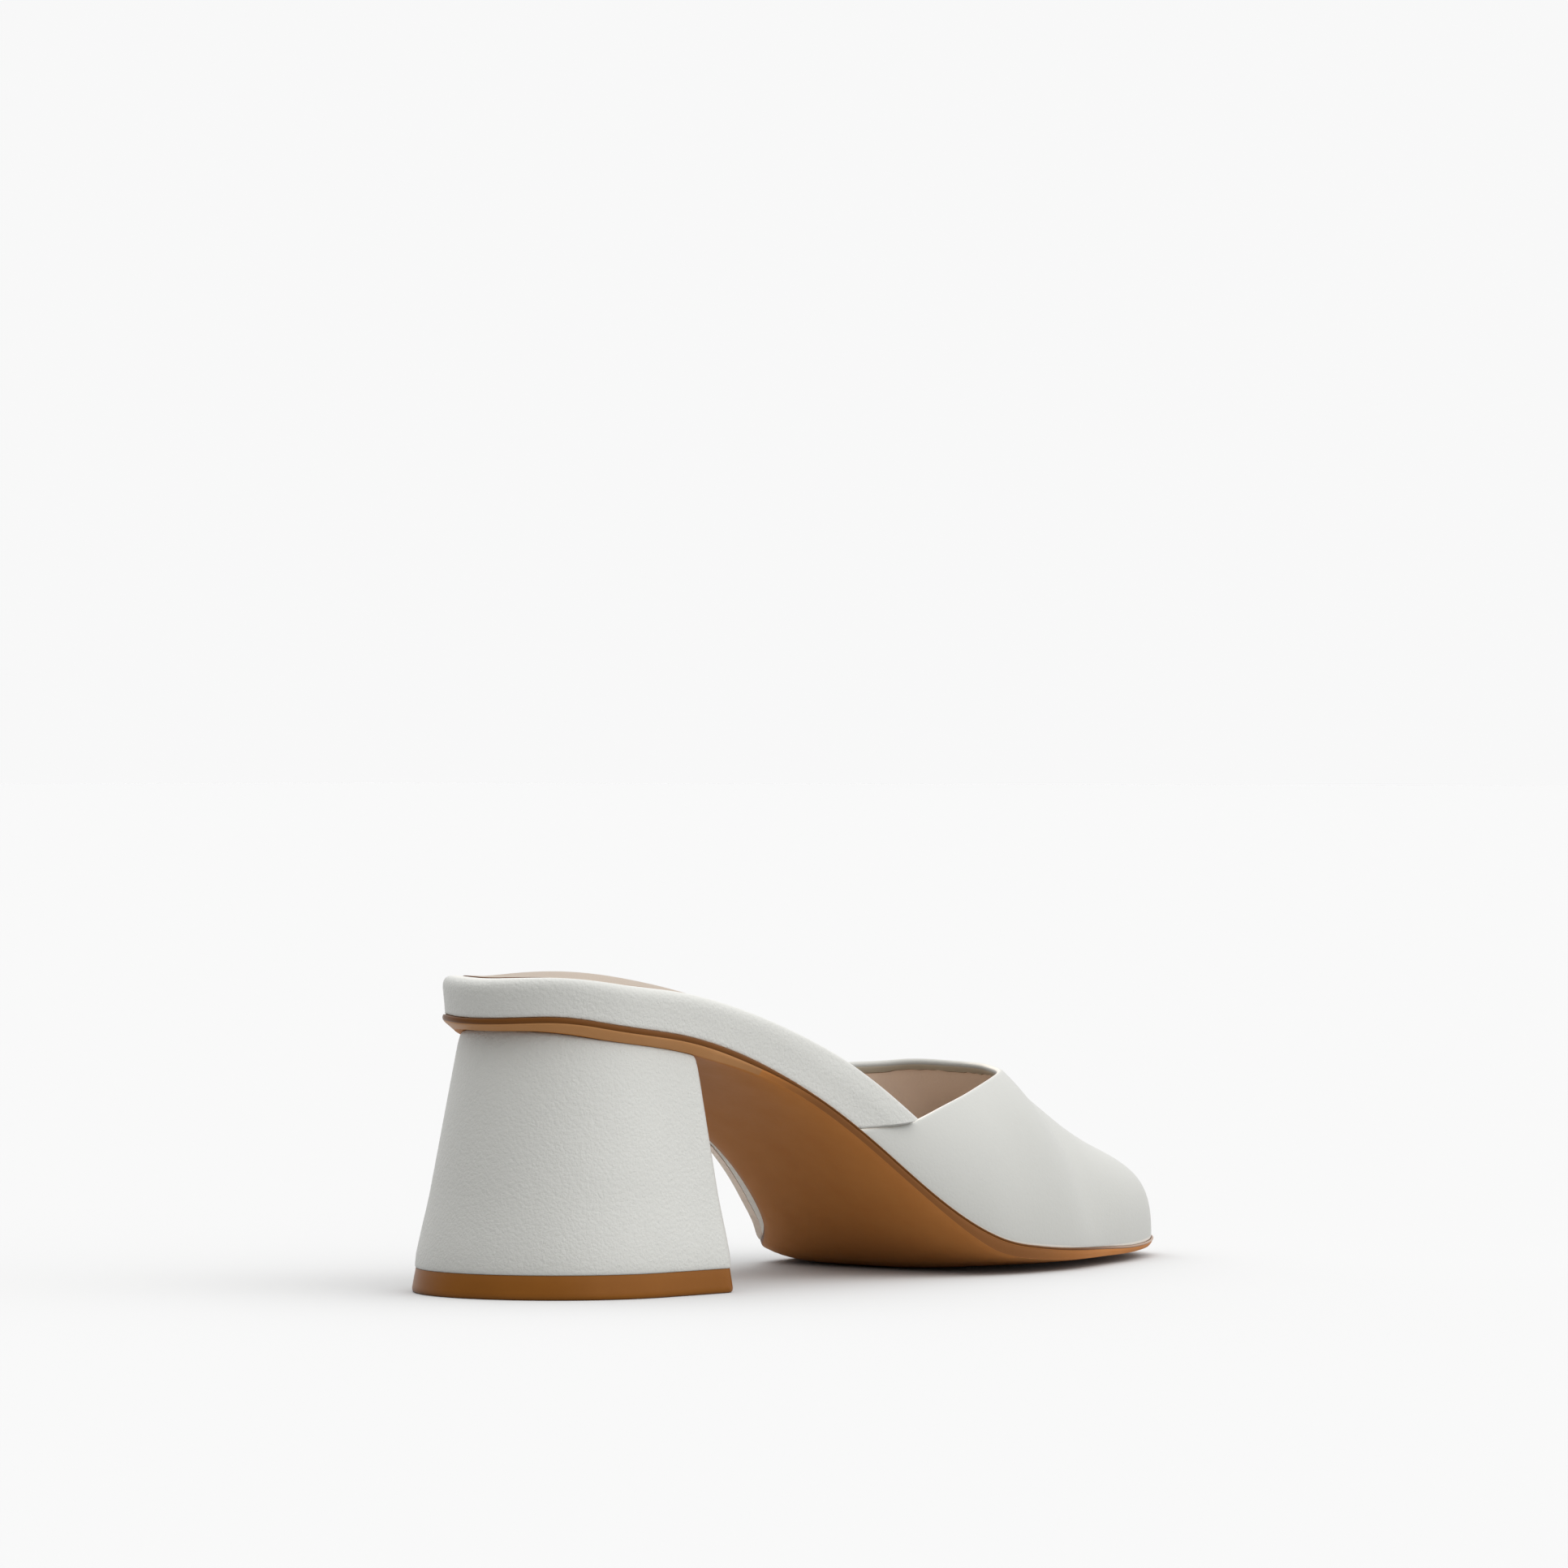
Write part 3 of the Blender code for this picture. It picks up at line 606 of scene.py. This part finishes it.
def make_sock():
    """The padded sock: a cut brown edge round a soft leather top."""
    across = [math.sin(math.pi / 2 * s) for s in spread(0.97, -0.97, 31)]
    ring = [("under", side, 0.0) for side in spread(-1, 1, 7)]
    ring += [("edge", 1, 0.0), ("edge", 1, 0.6), ("edge", 1, 1.0)]
    ring += [("top", side, 1.0) for side in across]
    ring += [("edge", -1, 1.0), ("edge", -1, 0.6), ("edge", -1, 0.0)]
    stations = bed_stations(150)

    def paint(column, row):
        ends = (ring[column], ring[(column + 1) % len(ring)])
        cut = all(kind != "under" and abs(side) > CUT_STRIP for kind, side, _ in ends)
        return 1 if cut else 0

    def place(column, row):
        kind, side, up = ring[column % len(ring)]
        base = stations[row]
        hand = 1 if side > 0 else -1
        nominal = slanted(base, 1.0)
        full = BUILD["bed"](nominal) / math.cos(pitch(nominal))
        wrap = covered(base, hand, *TRAY_NARROWS)
        clear = inside_upper(nominal, hand, full + 1.6) + SOCK_CLEAR
        inset = mix(UPPER_INSET + SOCK_INSET, clear, wrap)
        x = along(share_of(nominal), inset)
        y = side_at(x, side, inset, overhang(x))
        to_rim = TRAY_DEPTH - GAP - 0.1
        tray = foot_height(x, y) + full - to_rim
        puff = max(PAD(x), 0.0) * (1 - abs(side) ** 1.9) + SOCK_PROUD
        edge = up * (to_rim + SOCK_PROUD - 0.05)
        rise = {"under": 0.0, "edge": edge, "top": to_rim + puff}[kind]
        return x, y, tray + rise

    mesh = closed(grid(len(ring), len(stations) - 1, place, paint))
    piece = piece_of("sock_padded", mesh, [SOCK_LEATHER, CUT_EDGE], "sock", 60)
    return piece


# ---- heel --------------------------------------------------------------------------
def heel_outline(plan, round_steps=40):
    """Points of the D, from the middle of the breast round by the outer side."""
    back, breast, half, round_length, corner = plan
    points = [(breast, -t * (half - corner)) for t in spread(0, 1, 12)]
    for angle in spread(0, math.pi / 2, 9)[1:]:
        points.append((breast - corner + corner * math.cos(angle),
                       -(half - corner) - corner * math.sin(angle)))
    straight = [breast - corner, back + round_length]
    points += [(x, -half) for x in spread(*straight, 8)[1:-1]]
    for angle in spread(0, math.pi / 2, round_steps):
        points.append((back + round_length * (1 - math.sin(angle)), -half * math.cos(angle)))
    return points + [(x, -y) for x, y in reversed(points[1:-1])]


def grown(plan, by):
    back, breast, half, round_length, corner = plan
    return back - by, breast + by, half + by, round_length + by, corner + by


def heel_plan(z):
    return tuple(mix(a, b, z / 57.0) for a, b in zip(HEEL_FOOT, HEEL_TOP))


def seat_under(x, y):
    """Height of the sole's underside, less the joint."""
    return foot_height(x, y) - sole_thick(x, y) / math.cos(pitch(x)) - JOINT


def make_heel_block():
    foot = LIFT_HEIGHT + JOINT
    rows = [("cap", foot, -8.0), ("wall", foot, -0.06), ("wall", foot + 0.05, 0.06),
            ("wall", foot + 0.3, 0.2), ("wall", foot + 1.0, 0.34), ("wall", foot + 3, 0.5)]
    rows += [("wall", foot + 6, 0.42), ("wall", foot + 9, 0.3), ("wall", foot + 12.5, 0.12)]
    rows += [("wall", z, 0.0) for z in spread(foot + 16, 44, 18)]
    rows += [("seat", drop, -SEAT_EDGE * (1 - drop / SEAT_EDGE_DEEP) ** 3)
             for drop in (4.5, 3.6, 2.7, 1.9, 1.2, 0.7)]
    rows += [("seat", 0.35, -0.36), ("seat", 0.12, -0.5), ("seat", 0.0, -0.8)]
    rows += [("fill", share, 0.0) for share in (0.8, 0.5, 0.2, 0.02)]
    around = len(heel_outline(HEEL_FOOT))

    def place(column, row):
        kind, value, grow = rows[row]
        step = column % around
        if kind in ("wall", "cap"):
            x, y = heel_outline(grown(heel_plan(value), grow))[step]
            return x, y, value
        x, y = heel_outline(grown(HEEL_TOP, grow))[step]
        if kind == "seat":
            for _ in range(4):
                z = seat_under(x, y) - value
                x, y = heel_outline(grown(heel_plan(z), grow))[step]
            return x, y, seat_under(x, y) - value
        middle = (HEEL_TOP[0] + HEEL_TOP[1]) / 2
        x, y = middle + (x - middle) * value, y * value
        return x, y, seat_under(x, y)

    mesh = closed(grid(around, len(rows) - 1, place))
    return piece_of("heel_block_wrap", mesh, [WRAP_LEATHER], "heel_block", 50)


def make_top_lift():
    rows = ((0.0, -9.0), (0.0, -0.9), (0.08, -0.55), (0.35, -0.2), (0.9, -0.02), (1.6, 0.0),
            (3.4, 0.0), (LIFT_HEIGHT - 0.1, 0.0), (LIFT_HEIGHT - 0.02, -0.03),
            (LIFT_HEIGHT, -0.1), (LIFT_HEIGHT, -9.0))
    around = len(heel_outline(HEEL_FOOT))

    def place(column, row):
        z, grow = rows[row]
        x, y = heel_outline(grown(heel_plan(z), grow))[column % around]
        return x, y, z

    mesh = closed(grid(around, len(rows) - 1, place))
    return piece_of("heel_top_lift", mesh, [LIFT], "top_lift", 50)


# ---- upper -------------------------------------------------------------------------
def wall_normal(x, around):
    """Outward normal of the upper's outer face."""
    low, high = max(around - 0.004, -1.0), min(around + 0.004, 1.0)
    across = upper_section(x, high) - upper_section(x, low)
    forward = upper_section(x + 0.4, around) - upper_section(x - 0.4, around)
    return forward.cross(across).normalized()


def edge_rate(around, line):
    """How fast the distance from a cut edge grows with x."""
    low, high = max(around - 0.01, -1.0), min(around + 0.01, 1.0)
    tangent = (upper_section(line(high), high) - upper_section(line(low), low)).normalized()
    x = line(around)
    step = upper_section(x + 0.5, around) - upper_section(x - 0.5, around)
    return max(step.cross(tangent).length, 0.3)


def wall_loop():
    """Rows round the wall: from which edge, how far from it, and how deep in the wall."""
    roll = WALL / 2
    turn = [(roll - roll * math.sin(angle), roll - roll * math.cos(angle))
            for angle in spread(0, math.pi, 9)]
    outside = [(distance, 0.0) for distance in (0.9, 1.3, 1.9, 2.8, NEAR_EDGE)]
    lining = WALL - LINING_STEP
    inside = [(1.5, WALL), (TURN_IN - 0.2, WALL), (TURN_IN - 0.05, WALL - 0.06),
              (TURN_IN, lining + 0.06), (TURN_IN + 0.3, lining), (NEAR_EDGE, lining)]
    rows = [("back", *step) for step in outside]
    rows += [("middle", share, 0.0) for share in spread(0, 1, 92)[1:-1]]
    rows += [("front", *step) for step in reversed(outside)]
    rows += [("front", *step) for step in turn]
    rows += [("front", *step) for step in inside]
    rows += [("middle", share, lining) for share in spread(1, 0, 62)[1:-1]]
    rows += [("back", *step) for step in reversed(inside)]
    rows += [("back", *step) for step in reversed(turn)]
    return rows


def make_upper():
    """The vamp: leather outside, turned in at its edges, and the lining inside."""
    feet = (0.0, 0.0006, 0.0018, 0.004, 0.0085)
    arounds = [-1 + step for step in feet] + spread(-0.985, 0.985, 190)
    arounds += [1 - step for step in reversed(feet)]
    rates = [(edge_rate(around, BACK), edge_rate(around, FRONT)) for around in arounds]
    rows = wall_loop()

    def station(column, row):
        around = arounds[column]
        back_rate, front_rate = rates[column]
        start, end = BACK(around), FRONT(around)
        kind, value, depth = rows[row % len(rows)]
        if kind == "back":
            return start + value / back_rate, value
        if kind == "front":
            return end - value / front_rate, value
        return mix(start + NEAR_EDGE / back_rate, end - NEAR_EDGE / front_rate, value), 9.0

    lining = WALL - LINING_STEP

    def paint(column, row):
        kinds = [rows[step % len(rows)] for step in (row, row + 1)]
        # the brown line at the lining's edge: partly the seam, partly painted shadow of the step
        if all(kind[2] > 0 and TURN_IN - 0.1 < kind[1] < TURN_IN + 0.4 for kind in kinds):
            return 2
        # the turned-in band takes the leather drawn as painted light
        if all(kind[2] > WALL - 0.2 for kind in kinds):
            return 3
        return 1 if all(kind[2] == lining for kind in kinds) else 0

    def place(column, row):
        around = arounds[column]
        x, from_edge = station(column, row)
        depth = rows[row % len(rows)][2]
        skived = ease((abs(around) - 0.6) / 0.2) * (1 - ease(from_edge / NEAR_EDGE))
        foot = 1 - min((1 - abs(around)) / feet[-1], 1.0)
        if depth > 0 and from_edge > TURN_IN - 0.1:     # the lining's edge is cut by hand
            x += 0.12 * math.sin(40 * around) + 0.08 * math.sin(97 * around + 1)
        deep = depth * mix(1.0, WING_WALL / WALL, skived) + 0.15 * foot ** 3
        point = upper_section(x, around) - wall_normal(x, around) * deep
        # Painted highlight: cream along the rolled topline edge and along the foot, fainter
        # towards the inner side.
        painted_light_and_burnish = 0.0
        if depth < WALL / 2 + 0.05:
            near = 1 - 0.9 * ease((around + 0.3) / 0.4)
            painted_light_and_burnish = max(near * (0.7 - 2 * from_edge), 0.6 * foot, 0.0)
        return (*point, painted_light_and_burnish)

    mesh = closed(grid(len(arounds) - 1, len(rows), place, paint), cap=1)
    return piece_of("upper_vamp", mesh, [UPPER_LEATHER, LINING_PAINTED_LIGHT, SEAM_AND_PAINTED_SHADOW, TURNED_IN_PAINTED_LIGHT], "upper",
                    50)


# ---- studio ------------------------------------------------------------------------
HEADING = math.radians(42)
AHEAD = Vector((math.cos(HEADING), math.sin(HEADING), 0.0))
RIGHT = Vector((math.sin(HEADING), -math.cos(HEADING), 0.0))
UP = Vector((0.0, 0.0, 1.0))
FAR_BACK = 1750.0       # camera
TO_THE_RIGHT = 70.63
EYE_HEIGHT = 115.7
DIP_DEGREES = 0.159
FLOOR_HALF = 30.0       # metres
ROOM = 0.17             # light that comes from everywhere
LIGHT_COLUMNS = ("ahead", "right", "up", "soft_from", "soft_to", "power")
LIGHTS = (
    (1.0, 0.0, 0.07, 0.1, 0.466, 0.77),         # pale wall behind the shoe
    (-0.483, 0.837, 0.259, 0.5, 1.0, 2.35),     # large soft box on the right
    (0.0, 0.0, 1.0, 0.1, 1.0, 1.94),            # white ceiling
)


def make_floor():
    mesh = bmesh.new()
    bmesh.ops.create_grid(mesh, x_segments=1, y_segments=1, size=FLOOR_HALF)
    data = bpy.data.meshes.new("studio_floor")
    mesh.to_mesh(data)
    mesh.free()
    material, tree = new_material("studio_paper")
    finish(tree, {"Base Color": linear("#b5b5b5"), "Roughness": 0.9,
                  "Specular IOR Level": 0.0}, {})
    data.materials.append(material)
    floor = bpy.data.objects.new("studio_floor", data)
    bpy.context.scene.collection.objects.link(floor)


def make_light():
    world = bpy.data.worlds.new("studio_dome")
    bpy.context.scene.world = world
    world.use_nodes = True
    tree = world.node_tree
    tree.nodes.clear()
    look = add(tree, "ShaderNodeTexCoord").outputs["Generated"]
    total = add(tree, "ShaderNodeValue").outputs["Value"]
    total.default_value = ROOM
    for row in LIGHTS:
        light = dict(zip(LIGHT_COLUMNS, row))
        toward = light["ahead"] * AHEAD + light["right"] * RIGHT + light["up"] * UP
        toward.normalize()
        facing = add(tree, "ShaderNodeVectorMath", {"operation": "DOT_PRODUCT", 1: toward},
                     {0: look})
        glow = add(tree, "ShaderNodeMapRange",
                   {"interpolation_type": "SMOOTHSTEP", "From Min": light["soft_from"],
                    "From Max": light["soft_to"], "To Max": light["power"]},
                   {"Value": facing.outputs["Value"]})
        total = add(tree, "ShaderNodeMath", {"operation": "ADD"},
                    {0: total, 1: glow.outputs["Result"]}).outputs["Value"]
    sky = add(tree, "ShaderNodeBackground", {"Color": (1.0, 1.0, 1.0, 1.0)}, {"Strength": total})
    add(tree, "ShaderNodeOutputWorld", links={"Surface": sky.outputs["Background"]})


def make_camera():
    """Low, behind the outer side, from far off."""
    place = TO_THE_RIGHT * RIGHT - FAR_BACK * AHEAD
    lens = bpy.data.cameras.new("camera")
    lens.sensor_width = 36.0
    lens.lens = 186.5
    lens.clip_end = 100.0
    camera = bpy.data.objects.new("camera", lens)
    bpy.context.scene.collection.objects.link(camera)
    camera.location = to_row((place.x, place.y, EYE_HEIGHT))
    view = AHEAD - math.tan(math.radians(DIP_DEGREES)) * UP
    camera.rotation_euler = view.to_track_quat("-Z", "Y").to_euler()
    bpy.context.scene.camera = camera


make_outsole()
make_footbed()
make_sock()
make_heel_block()
make_top_lift()
make_upper()
make_floor()
make_light()
make_camera()
bpy.context.scene.view_settings.view_transform = "Standard"
